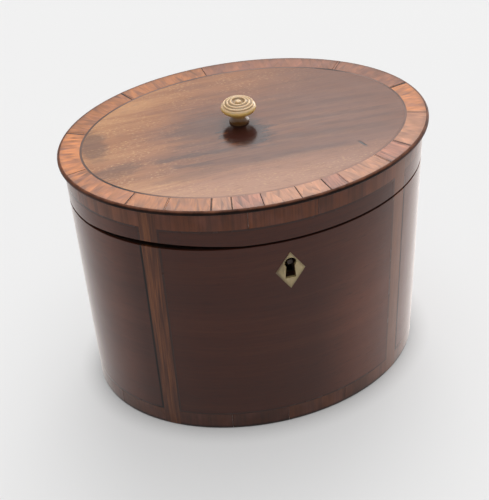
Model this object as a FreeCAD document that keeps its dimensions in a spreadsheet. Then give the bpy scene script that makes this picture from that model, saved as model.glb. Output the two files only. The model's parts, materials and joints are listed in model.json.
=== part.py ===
"""Oval tea caddy: a veneered oval box with a hinged lid, a loose inner lid and a link lock.

Millimetres, +Z up, origin on the table under the middle of the box.  The front, with the keyhole,
faces -Y, the long axis of the oval lies along X, and the hinges are at the back.
"""
import FreeCAD, Part
import math
import os
import Sketcher

doc = FreeCAD.newDocument("tea_caddy")

# Driving dimensions
SIZES = [
    ("body_length", 149.0, "length of the box over its veneers"),
    ("body_width", 111.5, "width of the box over its veneers"),
    ("body_height", 97.25, "height of the rim of the box"),
    ("core_wall", 7.0, "wood of the wall under the veneer"),
    ("veneer", 1.0, "thickness of every veneer and stringing line"),
    ("base_board", 6.0, "thickness of the bottom board"),
    ("foot_relief", 0.4, "veneers stop this far above the table"),
    ("base_band", 8.0, "height of the crossbanding along the base"),
    ("line", 0.9, "width of a dark stringing line"),
    ("upright", 7.0, "width of the four upright bands"),
    ("upright_angle", 47.2, "plan angle of the uprights from the long axis, degrees"),
    ("butt_gap", 0.16, "open joint between two lengths of crossbanding"),
    ("joint_gap", 1.1, "gap between the rims of box and lid"),
    ("lid_panel", 6.95, "height of the plain lower band on the lid"),
    ("lid_band", 8.0, "height of the crossbanding on the lid side"),
    ("edge_height", 1.8, "height of the dark moulding round the lid top"),
    ("edge_front", 1.5, "the moulding stands this far out at the front"),
    ("edge_back", 0.6, "the moulding stands this far out at the back"),
    ("edge_ends", 2.1, "the moulding stands this far out at each end"),
    ("edge_lip", 1.1, "width of the moulding outside the crossbanding on the lid top"),
    ("edge_round", 0.85, "rounding of the moulding at its top"),
    ("edge_foot_round", 0.55, "rounding of the moulding at its foot"),
    ("lid_board", 6.0, "thickness of the board of the lid"),
    ("top_band", 7.9, "width of the crossbanding on the lid top"),
    ("bow_start", 200.0, "plan angle where the bowed edge of the lid starts, degrees"),
    ("bow_end", 256.0, "plan angle where the bowed edge of the lid ends, degrees"),
    ("bow_slope", 11.0, "slope of the bowed edge, degrees"),
    ("liner", 2.5, "thickness of the liner that carries the inner lid"),
    ("foil", 0.3, "thickness of the foil lining"),
    ("ledge_drop", 4.5, "top of the liner lies this far below the lock"),
    ("inner_lid", 4.0, "thickness of the inner lid"),
    ("inner_lid_gap", 1.5, "gap round the inner lid"),
    ("run_gap", 0.35, "clearance between pieces that move past each other"),
    ("knob_shift_x", -1.0, "the knob sits this far off the middle of the lid, lengthwise"),
    ("knob_shift_y", 4.7, "the knob sits this far off the middle of the lid, towards the back"),
    ("knob_head", 14.0, "diameter of the head of the lid knob"),
    ("knob_height", 9.6, "height of the lid knob"),
    ("knob_foot", 8.2, "diameter of the foot of the lid knob"),
    ("knob_neck", 5.2, "diameter of the neck of the lid knob"),
    ("knob_boss", 2.8, "diameter of the button on top of the lid knob"),
    ("knob_ring", 0.77, "width of a turned ring on the lid knob"),
    ("knob_peg", 4.0, "diameter of the peg of the lid knob"),
    ("small_head", 10.0, "diameter of the head of the inner knob"),
    ("small_height", 9.0, "height of the inner knob"),
    ("small_foot", 6.0, "diameter of the foot of the inner knob"),
    ("small_neck", 3.6, "diameter of the neck of the inner knob"),
    ("small_boss", 2.2, "diameter of the button on top of the inner knob"),
    ("small_ring", 0.54, "width of a turned ring on the inner knob"),
    ("small_peg", 2.6, "diameter of the peg of the inner knob"),
    ("hinge_offset", 12.0, "middle of each hinge from the middle of the box"),
    ("hinge_length", 16.0, "length of each hinge"),
    ("leaf_depth", 6.6, "depth of a hinge leaf from the pin"),
    ("leaf", 1.0, "thickness of a hinge leaf"),
    ("barrel", 3.0, "diameter of the hinge barrel"),
    ("pin", 1.4, "diameter of the hinge pin"),
    ("pin_play", 0.05, "radial play of the lid knuckle on its pin"),
    ("screw_head", 3.2, "diameter of a screw head"),
    ("screw_sink", 0.8, "depth of a screw head"),
    ("screw_shank", 1.6, "diameter of a screw shank"),
    ("screw_slot", 0.4, "width and depth of the slot of a screw"),
    ("hinge_screw", 8.0, "length of a hinge screw"),
    ("lock_screw", 4.4, "length of a lock screw"),
    ("link_screw", 7.0, "length of a link plate screw"),
    ("lock_depth", 5.4, "depth of the lock, front to back"),
    ("lock_drop", 23.0, "height of the lock"),
    ("lock_plate", 1.0, "thickness of the back plate of the lock"),
    ("lock_flange", 4.0, "back plate beyond the case on each side"),
    ("selvedge", 1.5, "thickness of the top plate of the lock"),
    ("case_wall", 0.8, "wall of the lock case"),
    ("bolt_travel", 3.5, "travel of the bolt"),
    ("bolt_bar", 2.2, "height of the bolt's bar"),
    ("bolt_post", 1.6, "width of a post of the bolt"),
    ("bolt_finger", 2.0, "height of a finger of the bolt"),
    ("bolt_plate", 1.0, "thickness of the bolt"),
    ("spring", 0.5, "thickness of the lock spring"),
    ("spring_drop", 6.0, "rise of the lock spring along its length"),
    ("lug_offset", 7.0, "each lug of the link plate from the middle"),
    ("lug", 1.4, "thickness of a lug"),
    ("lug_foot", 1.0, "metal below the eye of a lug"),
    ("link_plate", 1.4, "thickness of the link plate"),
    ("link_end", 6.0, "link plate beyond each lug"),
    ("key_pin", 2.2, "diameter of the drill pin in the lock"),
    ("key_pin_depth", 0.5, "the drill pin ends this far behind the front face"),
    ("keyhole_drop", 10.3, "middle of the keyhole below the rim"),
    ("keyhole", 4.8, "diameter of the round of the keyhole"),
    ("keyhole_slot", 7.4, "depth of the keyhole slot below its round"),
    ("slot_top", 3.2, "width of the keyhole slot at its top"),
    ("slot_foot", 4.4, "width of the keyhole slot at its foot"),
    ("diamond_length", 17.8, "height of the escutcheon"),
    ("diamond_width", 12.0, "width of the escutcheon"),
    ("diamond_drop", 3.7, "middle of the escutcheon below the middle of the keyhole"),
    ("diamond_proud", 0.12, "escutcheon stands this far out of the veneer"),
]

# Plan angles, in degrees, of the butt joints in each run of crossbanding
TOP_BUTTS = [10, 43, 93, 124, 157, 190, 221, 234, 248, 254, 263, 274, 283, 289, 306, 318, 343]
LID_SIDE_BUTTS = [12, 68, 90, 112, 168, 196, 258, 279, 343]
BASE_BUTTS = [8, 75, 104, 172, 203, 249, 268, 289, 338]

sheet = doc.addObject("Spreadsheet::Sheet", "Sizes")
for row, (alias, size, meaning) in enumerate(SIZES, start=1):
    sheet.set(f"A{row}", alias)
    sheet.set(f"B{row}", str(size))
    sheet.setAlias(f"B{row}", alias)
    sheet.set(f"C{row}", meaning)
doc.recompute()

# Lengths and heights that several pieces share, written as expressions of the sheet
HALF_LENGTH = "(Sizes.body_length / 2)"
HALF_WIDTH = "(Sizes.body_width / 2)"
RIM = "Sizes.body_height"
CORE_IN = "(Sizes.veneer + Sizes.core_wall)"
LINER_IN = f"({CORE_IN} + Sizes.liner)"
BAND_LOW = "Sizes.foot_relief"
FRAME_LOW = f"({BAND_LOW} + Sizes.base_band)"
PANEL_LOW = f"({FRAME_LOW} + Sizes.line)"
LID_LOW = f"({RIM} + Sizes.joint_gap)"
LID_PANEL_TOP = f"({LID_LOW} + Sizes.lid_panel)"
LID_FRAME_TOP = f"({LID_PANEL_TOP} + Sizes.line)"
EDGE_LOW = f"({LID_FRAME_TOP} + Sizes.lid_band)"
LID_TOP = f"({EDGE_LOW} + Sizes.edge_height)"
BOARD_TOP = f"({LID_TOP} - Sizes.veneer)"
BOARD_LOW = f"({BOARD_TOP} - Sizes.lid_board)"
LOCK_LOW = f"({RIM} - Sizes.lock_drop)"
LEDGE = f"({LOCK_LOW} - Sizes.ledge_drop)"
HINGE_Y = HALF_WIDTH
HINGE_Z = f"({RIM} + Sizes.joint_gap / 2)"
SLAB_REACH = "(Sizes.edge_ends + Sizes.edge_lip + Sizes.top_band + Sizes.line)"

# Plans of the box and of the lid top: half length, half width and shift along Y
BOX_PLAN = (HALF_LENGTH, HALF_WIDTH, "0")
LID_PLAN = (f"({HALF_LENGTH} + Sizes.edge_ends)",
            f"({HALF_WIDTH} + (Sizes.edge_front + Sizes.edge_back) / 2)",
            "((Sizes.edge_back - Sizes.edge_front) / 2)")

kept = []


# Small helpers: every size and place is an expression of the sheet

def value(expression):
    """The present number of an expression."""
    result = sheet.evalExpression(str(expression))
    return float(getattr(result, "Value", result))


def bind(obj, **expressions):
    """Bind properties to expressions; x, y, z and turn stand for the placement."""
    short = {"x": "Placement.Base.x", "y": "Placement.Base.y", "z": "Placement.Base.z",
             "turn": "Placement.Rotation.Angle"}
    for name, expression in expressions.items():
        obj.setExpression(short.get(name, name), str(expression))
    return obj


def keep(obj, label):
    """Make an object a sub-part of the caddy under its own name."""
    obj.Label = label
    kept.append(obj)
    return obj


def box(name, x, y, z):
    """Box between pairs of limits along X, Y and Z."""
    obj = doc.addObject("Part::Box", name)
    return bind(obj, x=x[0], y=y[0], z=z[0], Length=f"({x[1]}) - ({x[0]})",
                Width=f"({y[1]}) - ({y[0]})", Height=f"({z[1]}) - ({z[0]})")


def rod(name, diameter, axis, x, y, z):
    """Round rod along axis "x", "y" or "z": that place is a pair of limits, the others are single."""
    turns = {"x": FreeCAD.Rotation(FreeCAD.Vector(0, 1, 0), 90),
             "y": FreeCAD.Rotation(FreeCAD.Vector(1, 0, 0), -90),
             "z": FreeCAD.Rotation()}
    low, high = {"x": x, "y": y, "z": z}[axis]
    place = {"x": x, "y": y, "z": z}
    place[axis] = low
    obj = doc.addObject("Part::Cylinder", name)
    obj.Placement.Rotation = turns[axis]
    return bind(obj, **place, Radius=f"({diameter}) / 2", Height=f"({high}) - ({low})")


def fuse(name, *objects):
    obj = doc.addObject("Part::MultiFuse", name)
    obj.Shapes = list(objects)
    return obj


def cut(name, base, *tools):
    obj = doc.addObject("Part::Cut", name)
    obj.Base = base
    obj.Tool = tools[0] if len(tools) == 1 else fuse(name + "_tools", *tools)
    return obj


def common(name, first, second):
    obj = doc.addObject("Part::Common", name)
    obj.Base = first
    obj.Tool = second
    return obj


def group(name, *objects):
    obj = doc.addObject("Part::Compound", name)
    obj.Links = list(objects)
    return obj


def oval(name, inset, low, high, plan=BOX_PLAN):
    """Oval slab: a plan drawn in by inset, between two heights."""
    long_half, short_half, shift = plan
    edge = doc.addObject("Part::Ellipse", name + "_outline")
    bind(edge, MajorRadius=f"{long_half} - ({inset})", MinorRadius=f"{short_half} - ({inset})",
         y=shift, z=low)
    slab = doc.addObject("Part::Extrusion", name)
    slab.Base = edge
    slab.DirMode = "Custom"
    slab.Dir = FreeCAD.Vector(0, 0, 1)
    slab.Solid = True
    return bind(slab, LengthFwd=f"({high}) - ({low})")


def ring(name, outer, inner, low, high, plan=BOX_PLAN):
    """Oval ring between two insets of a plan and two heights."""
    return cut(name, oval(name + "_full", outer, low, high, plan),
               oval(name + "_hole", inner, low, high, plan))


def upright_slab(name, angle, thickness, low, high):
    """Flat slab that stands square to the oval at a plan angle."""
    normal = f"atan2({HALF_LENGTH} * sin({angle}); {HALF_WIDTH} * cos({angle}))"
    x = (f"{HALF_LENGTH} * cos({angle}) - {SLAB_REACH} * cos({normal})"
         f" + ({thickness}) / 2 * sin({normal})")
    y = (f"{HALF_WIDTH} * sin({angle}) - {SLAB_REACH} * sin({normal})"
         f" - ({thickness}) / 2 * cos({normal})")
    obj = doc.addObject("Part::Box", name)
    return bind(obj, x=x, y=y, z=low, turn=normal, Length=f"2 * {SLAB_REACH}", Width=thickness,
                Height=f"({high}) - ({low})")


def new_sketch(body, role, name, offset="0"):
    """Sketch on one of the body's own origin planes, moved along its normal."""
    sketch = body.newObject("Sketcher::SketchObject", name)
    plane = next(item for item in body.Origin.OriginFeatures if item.Role == role)
    sketch.AttachmentSupport = [(plane, "")]
    sketch.MapMode = "FlatFace"
    sketch.setExpression("AttachmentOffset.Base.z", offset)
    return sketch


def arc_between(first, last, radius, hand):
    """Arc from first to last: hand +1 bulges to the right of the way there, -1 to the left."""
    chord = last - first
    left = FreeCAD.Vector(-chord.y, chord.x, 0).normalize()
    centre = (first + last) * 0.5 + left * (hand * math.sqrt(radius**2 - chord.Length**2 / 4))
    low, high = (first, last) if hand > 0 else (last, first)
    begin = math.atan2(low.y - centre.y, low.x - centre.x)
    finish = math.atan2(high.y - centre.y, high.x - centre.x)
    if finish < begin:
        finish += 2 * math.pi
    return Part.ArcOfCircle(Part.Circle(centre, FreeCAD.Vector(0, 0, 1), radius), begin, finish)


def outline(sketch, corners, arcs=None):
    """Closed outline through corners, anticlockwise.

    arcs maps a side's number to (fullness, hand): the arc's radius is fullness times its chord.
    """
    arcs = arcs or {}
    points = [FreeCAD.Vector(value(x), value(y), 0) for x, y in corners]
    count = len(points)
    starts, ends = [], []
    for side in range(count):
        first, last = points[side], points[(side + 1) % count]
        if side in arcs:
            fullness, hand = arcs[side]
            (x, y), (next_x, next_y) = corners[side], corners[(side + 1) % count]
            radius = f"{fullness} * hypot(({next_x}) - ({x}); ({next_y}) - ({y}))"
            geometry = sketch.addGeometry(arc_between(first, last, value(radius), hand))
            number = sketch.addConstraint(Sketcher.Constraint("Radius", geometry, value(radius)))
            sketch.setExpression(f"Constraints[{number}]", radius)
        else:
            hand = 1
            geometry = sketch.addGeometry(Part.LineSegment(first, last))
        starts.append((geometry, 1 if hand > 0 else 2))
        ends.append((geometry, 2 if hand > 0 else 1))
    for side in range(count):
        sketch.addConstraint(Sketcher.Constraint("Coincident", *ends[side], *starts[(side + 1) % count]))
        for kind, axis, place in zip(("DistanceX", "DistanceY"), (-2, -1), corners[side]):
            if place == "0":
                sketch.addConstraint(Sketcher.Constraint("PointOnObject", *starts[side], axis))
                continue
            number = sketch.addConstraint(Sketcher.Constraint(kind, -1, 1, *starts[side], value(place)))
            sketch.setExpression(f"Constraints[{number}]", place)


def oval_outline(sketch, inset, plan):
    """Oval in a sketch: a plan drawn in by inset."""
    long_half, short_half, shift = f"{plan[0]} - ({inset})", f"{plan[1]} - ({inset})", plan[2]
    middle = FreeCAD.Vector(0, value(shift), 0)
    geometry = sketch.addGeometry(Part.Ellipse(middle, value(long_half), value(short_half)))
    sketch.exposeInternalGeometry(geometry)
    sketch.addConstraint(Sketcher.Constraint("PointOnObject", geometry, 3, -2))
    number = sketch.addConstraint(Sketcher.Constraint("DistanceY", -1, 1, geometry, 3, value(shift)))
    sketch.setExpression(f"Constraints[{number}]", shift)
    sketch.addConstraint(Sketcher.Constraint("Horizontal", geometry + 1))
    for line, half in ((geometry + 1, long_half), (geometry + 2, short_half)):
        number = sketch.addConstraint(Sketcher.Constraint("Distance", line, 2 * value(half)))
        sketch.setExpression(f"Constraints[{number}]", f"2 * ({half})")


def pad(body, sketch, length):
    feature = body.newObject("PartDesign::Pad", sketch.Name + "_pad")
    feature.Profile = sketch
    return bind(feature, Length=length)


def prism_along_y(name, corners, y):
    """Outline in X and Z, padded between two limits along Y."""
    body = doc.addObject("PartDesign::Body", name)
    sketch = new_sketch(body, "XZ_Plane", name + "_outline", f"-({y[1]})")
    outline(sketch, corners)
    pad(body, sketch, f"({y[1]}) - ({y[0]})")
    return body


def turned(name, corners, arcs):
    """Outline of radius and height, turned about the Z axis."""
    body = doc.addObject("PartDesign::Body", name)
    sketch = new_sketch(body, "XZ_Plane", name + "_profile")
    outline(sketch, corners, arcs)
    feature = body.newObject("PartDesign::Revolution", name + "_turning")
    feature.Profile = sketch
    feature.ReferenceAxis = (sketch, ["V_Axis"])
    feature.Angle = 360
    return body


def screw(name, direction, length, x, y, z):
    """Countersunk slotted screw with its head at a place; gives it whole and with its slot."""
    half_head, half_slot = "Sizes.screw_head / 2", "Sizes.screw_slot / 2"
    turn, slot_y, slot_z = {
        "down": (FreeCAD.Rotation(FreeCAD.Vector(1, 0, 0), 180), f"+ {half_slot}", ""),
        "up": (FreeCAD.Rotation(), f"- {half_slot}", ""),
        "front": (FreeCAD.Rotation(FreeCAD.Vector(1, 0, 0), 90), "", f"- {half_slot}")}[direction]
    head = doc.addObject("Part::Cone", name + "_head")
    shank = doc.addObject("Part::Cylinder", name + "_shank")
    slot = doc.addObject("Part::Box", name + "_slot")
    for obj in (head, shank, slot):
        obj.Placement.Rotation = turn
    bind(head, x=x, y=y, z=z, Radius1=half_head, Radius2="Sizes.screw_shank / 2",
         Height="Sizes.screw_sink")
    bind(shank, x=x, y=y, z=z, Radius="Sizes.screw_shank / 2", Height=length)
    bind(slot, x=f"{x} - {half_head}", y=f"{y} {slot_y}", z=f"{z} {slot_z}",
         Length="Sizes.screw_head", Width="Sizes.screw_slot", Height="Sizes.screw_slot")
    whole = fuse(name + "_whole", head, shank)
    return whole, cut(name, whole, slot)


# Profile of a turned knob: heights as shares of its height
FOOT_TOP, NECK, RIM_LOW, RIM_TOP, BUTTON_LOW = 0.08, 0.28, 0.55, 0.82, 0.91
RIM_SHARE, BUTTON_FLAT = 0.91, 0.35
RING_COUNT, FIRST_RING, RING_RISE, RING_TILT = 3, 0.885, 0.045, 0.02
HOLLOW_ARC, ROUND_ARC, BUTTON_ARC = 1.1, 0.555, 0.75


def knob(name, prefix, peg_length):
    """Turned knob with rings and a button; its foot is at height 0 and its peg below."""
    head, foot, neck, boss, peg = [f"(Sizes.{prefix}_{part} / 2)"
                                   for part in ("head", "foot", "neck", "boss", "peg")]
    tall, ring = f"Sizes.{prefix}_height", f"Sizes.{prefix}_ring"
    rim_radius = f"{head} * {RIM_SHARE}"
    step = f"(({head} - {boss}) / {RING_COUNT + 1})"
    corners = [("0", f"-({peg_length})"), (peg, f"-({peg_length})"), (peg, "0"), (foot, "0"),
               (foot, f"{tall} * {FOOT_TOP}"), (neck, f"{tall} * {NECK}"),
               (rim_radius, f"{tall} * {RIM_LOW}"), (rim_radius, f"{tall} * {RIM_TOP}")]
    arcs = {4: (HOLLOW_ARC, -1), 5: (HOLLOW_ARC, -1), 6: (ROUND_ARC, 1)}
    for number in range(RING_COUNT):
        top = f"{tall} * {FIRST_RING + RING_RISE * number:.3f}"
        outer = RING_COUNT + 0.5 - number
        arcs[len(corners)] = (ROUND_ARC, 1)
        corners += [(f"{boss} + {step} * {outer}", f"{top} - {tall} * {RING_TILT}"),
                    (f"{boss} + {step} * {outer} - {ring}", top)]
    arcs[len(corners) - 1] = (HOLLOW_ARC, -1)
    arcs[len(corners)] = (BUTTON_ARC, 1)
    corners += [(boss, f"{tall} * {BUTTON_LOW}"), (f"{boss} * {BUTTON_FLAT}", tall), ("0", tall)]
    return turned(name, corners, arcs)


# The four sides of the oval: limits that pick one side, and plan angles of the four uprights
SIDE_X = f"({HALF_LENGTH} * cos(Sizes.upright_angle))"
FAR = "Sizes.body_length"
SIDES = {
    "front": ((f"-{SIDE_X}", SIDE_X), (f"-{FAR}", "0")),
    "right": ((SIDE_X, FAR), (f"-{FAR}", FAR)),
    "back": ((f"-{SIDE_X}", SIDE_X), ("0", FAR)),
    "left": ((f"-{FAR}", f"-{SIDE_X}"), (f"-{FAR}", FAR)),
}
CORNERS = {
    "front_left": "(180 + Sizes.upright_angle)",
    "front_right": "(360 - Sizes.upright_angle)",
    "back_right": "Sizes.upright_angle",
    "back_left": "(180 - Sizes.upright_angle)",
}

# Places of the keyhole and of the lock, which counts from its back plate towards the front
KEY_Z = f"({RIM} - Sizes.keyhole_drop)"
DIAMOND_Z = f"({KEY_Z} - Sizes.diamond_drop)"
FRONT = f"(-{HALF_WIDTH} - Sizes.edge_front)"
LOCK_BACK = f"(-({HALF_WIDTH} - {CORE_IN} - Sizes.inner_lid_gap + Sizes.run_gap))"
PLATE_FRONT = f"({LOCK_BACK} - Sizes.lock_plate)"
LOCK_FRONT = f"({LOCK_BACK} - Sizes.lock_depth)"
LOCK_CAVITY = f"({LOCK_FRONT} + Sizes.case_wall)"
LOCK_MIDDLE = f"(({PLATE_FRONT} + {LOCK_CAVITY}) / 2)"
CASE_IN = "(Sizes.lug_offset + Sizes.lug / 2 + 2 * Sizes.run_gap + Sizes.bolt_travel + Sizes.bolt_post)"
CASE_HALF = f"({CASE_IN} + Sizes.case_wall)"
PLATE_HALF = f"({CASE_HALF} + Sizes.lock_flange)"
SELVEDGE_LOW = f"({RIM} - Sizes.selvedge)"
BAR_LOW = f"({KEY_Z} + Sizes.key_pin / 2 + Sizes.run_gap)"
BAR_TOP = f"({BAR_LOW} + Sizes.bolt_bar)"
LUG_LOW = f"({BAR_TOP} + Sizes.run_gap)"
EYE_LOW = f"({LUG_LOW} + Sizes.lug_foot)"
FINGER_LOW = f"({EYE_LOW} + Sizes.run_gap)"
FINGER_TOP = f"({FINGER_LOW} + Sizes.bolt_finger)"
EYE_TOP = f"({FINGER_TOP} + Sizes.run_gap)"
LUGS = ("-Sizes.lug_offset", "Sizes.lug_offset")


# Tools that shape more than one piece

def bow_wedge():
    """Wedge of air under the front left of the lid, where its lower edge has bowed up."""
    first = (f"{HALF_LENGTH} * cos(Sizes.bow_start)", f"{HALF_WIDTH} * sin(Sizes.bow_start)")
    last = (f"{HALF_LENGTH} * cos(Sizes.bow_end)", f"{HALF_WIDTH} * sin(Sizes.bow_end)")
    wedge = doc.addObject("Part::Wedge", "bow_wedge")
    bind(wedge, Xmin=f"-{FAR}", Xmax=FAR, X2min=f"-{FAR}", X2max=FAR, Ymin="0", Ymax=HALF_WIDTH,
         Zmin="-Sizes.joint_gap", Zmax="0", Z2min="-Sizes.joint_gap",
         Z2max=f"{HALF_WIDTH} * tan(Sizes.bow_slope)")
    return bind(wedge, x=f"({first[0]} + {last[0]}) / 2", y=f"({first[1]} + {last[1]}) / 2", z=LID_LOW,
                turn=f"atan2({first[1]} - {last[1]}; {first[0]} - {last[0]})")


def keyhole_tool():
    """Keyhole: a round with a flared slot below it, from the front face into the lock."""
    foot = f"{KEY_Z} - Sizes.keyhole_slot"
    corners = [("-Sizes.slot_foot / 2", foot), ("Sizes.slot_foot / 2", foot),
               ("Sizes.slot_top / 2", KEY_Z), ("-Sizes.slot_top / 2", KEY_Z)]
    depth = (FRONT, LOCK_CAVITY)
    return fuse("keyhole_tool", prism_along_y("keyhole_slot_tool", corners, depth),
                rod("keyhole_round_tool", "Sizes.keyhole", "y", "0", depth, KEY_Z))


def diamond_tool():
    """Diamond of the escutcheon, through the front veneer."""
    half_tall, half_wide = "Sizes.diamond_length / 2", "Sizes.diamond_width / 2"
    corners = [("0", f"{DIAMOND_Z} - {half_tall}"), (half_wide, DIAMOND_Z),
               ("0", f"{DIAMOND_Z} + {half_tall}"), (f"-{half_wide}", DIAMOND_Z)]
    return prism_along_y("diamond_tool", corners, (FRONT, f"-{HALF_WIDTH} + {CORE_IN}"))


# Hardware

def hinge(side, middle):
    """Small butt hinge; gives the tools that cut its bed in the box, in the lid and in both."""
    third = "Sizes.hinge_length / 3"
    half_gap = "Sizes.run_gap / 2"
    start = f"({middle} - Sizes.hinge_length / 2)"
    end = f"({middle} + Sizes.hinge_length / 2)"
    barrel_edge = f"{HINGE_Y} - Sizes.barrel / 2 - Sizes.run_gap"
    depth = (f"{HINGE_Y} - Sizes.leaf_depth", HINGE_Y)
    knuckle_ends = [start, f"{start} + {third}", f"{start} + 2 * {third}", end]
    case_knuckles = [(start, f"{knuckle_ends[1]} - {half_gap}"), (f"{knuckle_ends[2]} + {half_gap}", end)]
    lid_knuckles = [(f"{knuckle_ends[1]} + {half_gap}", f"{knuckle_ends[2]} - {half_gap}")]
    screw_y = f"({HINGE_Y} - (Sizes.leaf_depth + Sizes.barrel / 2 + Sizes.run_gap) / 2)"
    beds = {}
    for body, heights, own, others, play, direction, head in (
            ("case", (f"{RIM} - Sizes.leaf", RIM), case_knuckles, lid_knuckles, "0", "down", RIM),
            ("lid", (LID_LOW, f"{LID_LOW} + Sizes.leaf"), lid_knuckles, case_knuckles,
             "Sizes.pin_play", "up", LID_LOW)):
        name = f"hinge_{side}_{body}"
        plate = box(f"{name}_plate", (start, end), depth, heights)
        notches = [box(f"{name}_notch_{number}",
                       (f"{low} - Sizes.run_gap", f"{high} + Sizes.run_gap"),
                       (barrel_edge, f"{HINGE_Y} + Sizes.barrel"), heights)
                   for number, (low, high) in enumerate(others, start=1)]
        knuckles = [rod(f"{name}_knuckle_{number}", "Sizes.barrel", "x", limits, HINGE_Y, HINGE_Z)
                    for number, limits in enumerate(own, start=1)]
        bore = rod(f"{name}_bore", f"Sizes.pin + 2 * {play}", "x", (start, end), HINGE_Y, HINGE_Z)
        screws = [screw(f"{name}_screw_{number}", direction, "Sizes.hinge_screw",
                        f"({middle} {sign} Sizes.hinge_length / 4)", screw_y, head)
                  for number, sign in enumerate("-+", start=1)]
        leaf = fuse(f"{name}_blank", cut(f"{name}_notched", plate, *notches), *knuckles)
        wholes = [whole for whole, _ in screws]
        keep(cut(f"{name}_part", leaf, bore, *wholes), f"hinge_{side}_{body}_leaf")
        beds[body] = [plate] + wholes
        hinge_screws[body] += [slotted for _, slotted in screws]
    keep(rod(f"hinge_{side}_pin_part", "Sizes.pin", "x", (start, end), HINGE_Y, HINGE_Z),
         f"hinge_{side}_pin")
    room = rod(f"hinge_{side}_room", "Sizes.barrel + 2 * Sizes.run_gap", "x",
               (f"{start} - Sizes.run_gap", f"{end} + Sizes.run_gap"), HINGE_Y, HINGE_Z)
    return [beds["case"] + [room], beds["lid"] + [room], [beds["case"][0], room], [beds["lid"][0], room]]


def lock(keyhole):
    """Lock let into the front wall; gives the tools that cut its bed."""
    plate_x, case_x = (f"-{PLATE_HALF}", PLATE_HALF), (f"-{CASE_HALF}", CASE_HALF)
    cavity = (LOCK_CAVITY, PLATE_FRONT)
    slots = [box(f"selvedge_slot_{number}",
                 (f"{x} - Sizes.lug / 2 - Sizes.run_gap", f"{x} + Sizes.lug / 2 + Sizes.run_gap"),
                 cavity, (SELVEDGE_LOW, RIM)) for number, x in enumerate(LUGS, start=1)]
    flange = f"({CASE_HALF} + Sizes.lock_flange / 2)"
    places = [(x, z) for x in (f"-{flange}", flange)
              for z in (f"{LOCK_LOW} + Sizes.screw_head", f"{SELVEDGE_LOW} - Sizes.screw_head")]
    screws = [screw(f"lock_screw_{number}", "front", "Sizes.lock_screw", x, LOCK_BACK, z)
              for number, (x, z) in enumerate(places, start=1)]
    wholes = [whole for whole, _ in screws]
    keep(group("lock_screw_group", *[slotted for _, slotted in screws]), "lock_screws")
    blank = fuse("lock_plate_blank",
                 box("lock_back_plate", plate_x, (PLATE_FRONT, LOCK_BACK), (LOCK_LOW, RIM)),
                 box("lock_selvedge", plate_x, (LOCK_FRONT, LOCK_BACK), (SELVEDGE_LOW, RIM)))
    keep(cut("lock_plate_part", blank, *slots, *wholes), "lock_plate")
    shell = box("lock_case_outside", case_x, (LOCK_FRONT, PLATE_FRONT), (LOCK_LOW, SELVEDGE_LOW))
    hollow = box("lock_case_inside", (f"-{CASE_IN}", CASE_IN), cavity,
                 (f"{LOCK_LOW} + Sizes.case_wall", SELVEDGE_LOW))
    keep(cut("lock_case_part", shell, hollow, keyhole), "lock_case")
    pin_y = (f"-{HALF_WIDTH} + Sizes.key_pin_depth", PLATE_FRONT)
    keep(rod("lock_key_pin_part", "Sizes.key_pin", "y", "0", pin_y, KEY_Z), "lock_key_pin")
    keep(lock_spring(), "lock_spring")
    keep(lock_bolt(), "lock_bolt")
    inside = f"(-{HALF_WIDTH} + 2 * {CORE_IN})"
    return [box("lock_bed_plate", plate_x, (PLATE_FRONT, inside), (LOCK_LOW, RIM)),
            box("lock_bed_case", case_x, (LOCK_FRONT, inside), (LOCK_LOW, RIM)),
            box("lock_bed_selvedge", plate_x, (LOCK_FRONT, inside), (SELVEDGE_LOW, RIM)),
            *wholes, keyhole]


BOLT_Y = (f"{LOCK_MIDDLE} - Sizes.bolt_plate / 2", f"{LOCK_MIDDLE} + Sizes.bolt_plate / 2")


def lock_spring():
    """Leaf spring that rises from the side of the case to just under the bolt."""
    tip_x, tip_z = "Sizes.keyhole", f"({BAR_LOW} - Sizes.run_gap)"
    root_z = f"({tip_z} - Sizes.spring_drop)"
    corners = [(tip_x, f"{tip_z} - Sizes.spring"), (CASE_IN, f"{root_z} - Sizes.spring"),
               (CASE_IN, root_z), (tip_x, tip_z)]
    return prism_along_y("lock_spring_part", corners, BOLT_Y)


def lock_bolt():
    """Bolt: a bar with two posts, each with a finger that slides through an eye of the link plate."""
    def post(lug):
        tip = f"({lug} - Sizes.lug / 2 - Sizes.run_gap)"
        right = f"({tip} - Sizes.bolt_travel)"
        return f"({right} - Sizes.bolt_post)", right, tip
    near_left, near_right, near_tip = post(LUGS[0])
    far_left, far_right, far_tip = post(LUGS[1])
    corners = [(near_left, BAR_LOW), (far_right, BAR_LOW), (far_right, FINGER_LOW), (far_tip, FINGER_LOW),
               (far_tip, FINGER_TOP), (far_left, FINGER_TOP), (far_left, BAR_TOP), (near_right, BAR_TOP),
               (near_right, FINGER_LOW), (near_tip, FINGER_LOW), (near_tip, FINGER_TOP),
               (near_left, FINGER_TOP)]
    return prism_along_y("lock_bolt_part", corners, BOLT_Y)


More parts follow.
